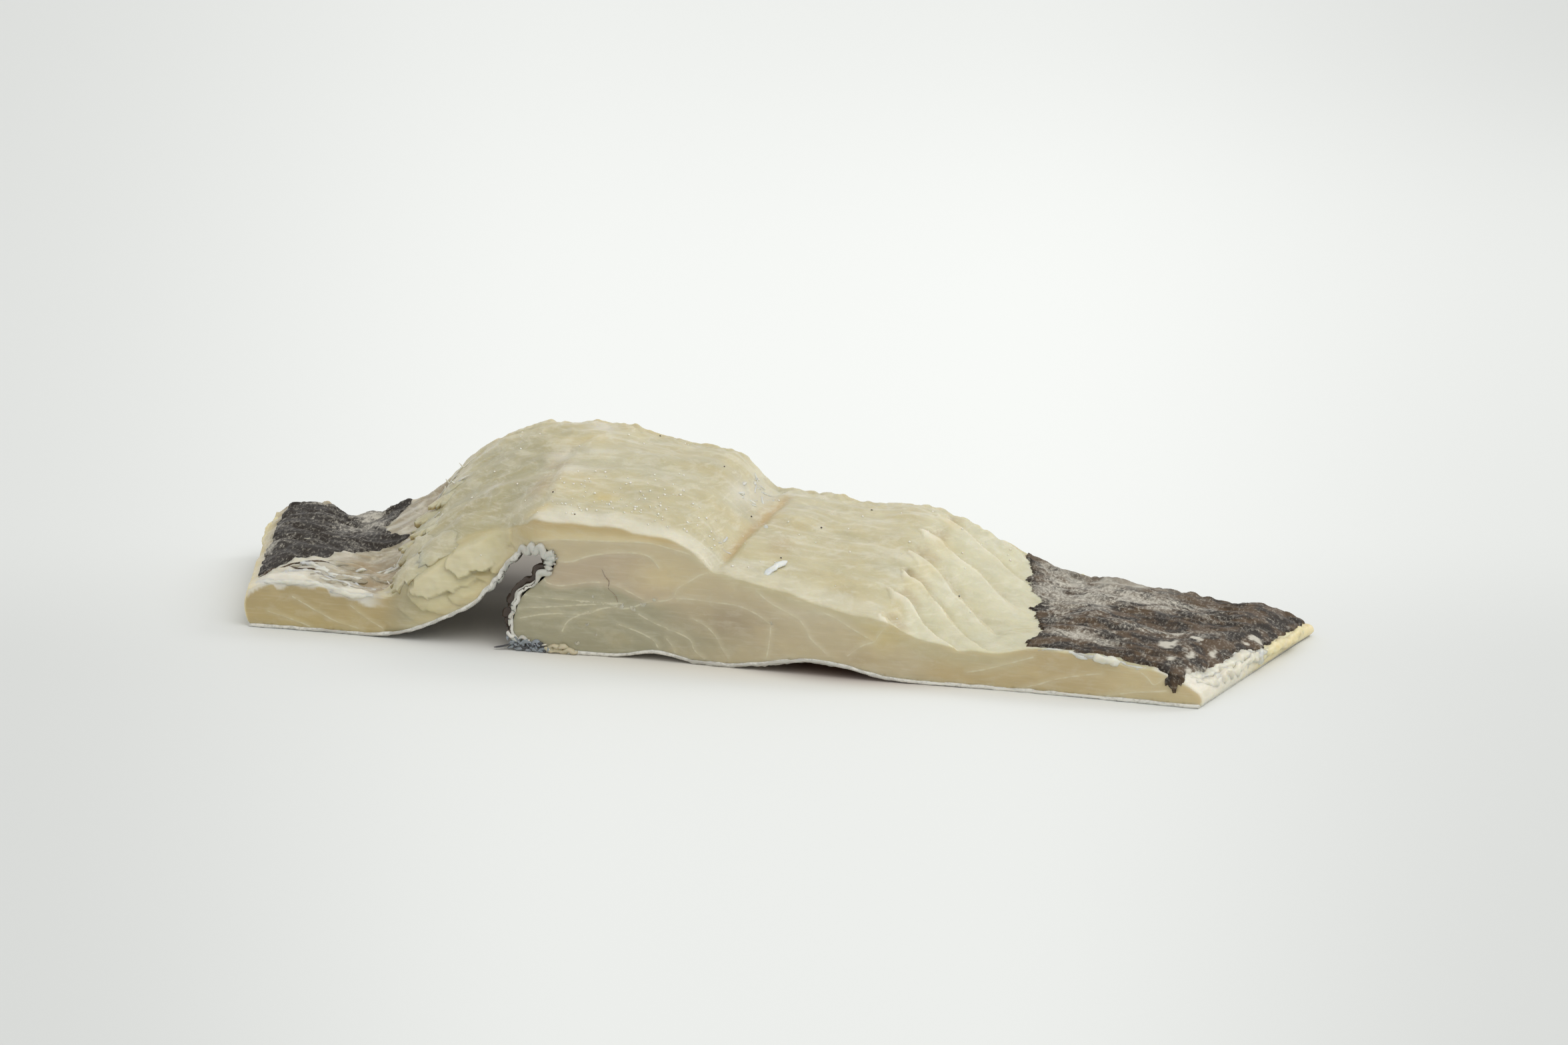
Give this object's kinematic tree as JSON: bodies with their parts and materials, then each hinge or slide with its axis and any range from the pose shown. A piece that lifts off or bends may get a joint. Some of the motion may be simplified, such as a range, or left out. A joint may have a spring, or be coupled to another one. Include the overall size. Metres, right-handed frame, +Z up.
{
  "type": "slab of salted dried cod",
  "caption": "Crosswise slab of split salted dried cod lying skin down, with arched loin, groove where the backbone was, flaked slopes and thin lined belly flaps.",
  "frame": {"origin": "on the surface it lies on, under the middle of the slab's bounding box", "axes": "+X from the thick left flap across both loins to the thin right flap, +Y from the front cut to the back cut, +Z up from skin to flesh"},
  "size_m": [0.3395, 0.0798, 0.0527],
  "materials": {
    "cod_flesh": "waxy, slightly wet salted fish flesh, pale straw with a faint sheen"
  },
  "bodies": {
    "root": {"cod_slab": "cod_flesh"}
  },
  "joints": []
}
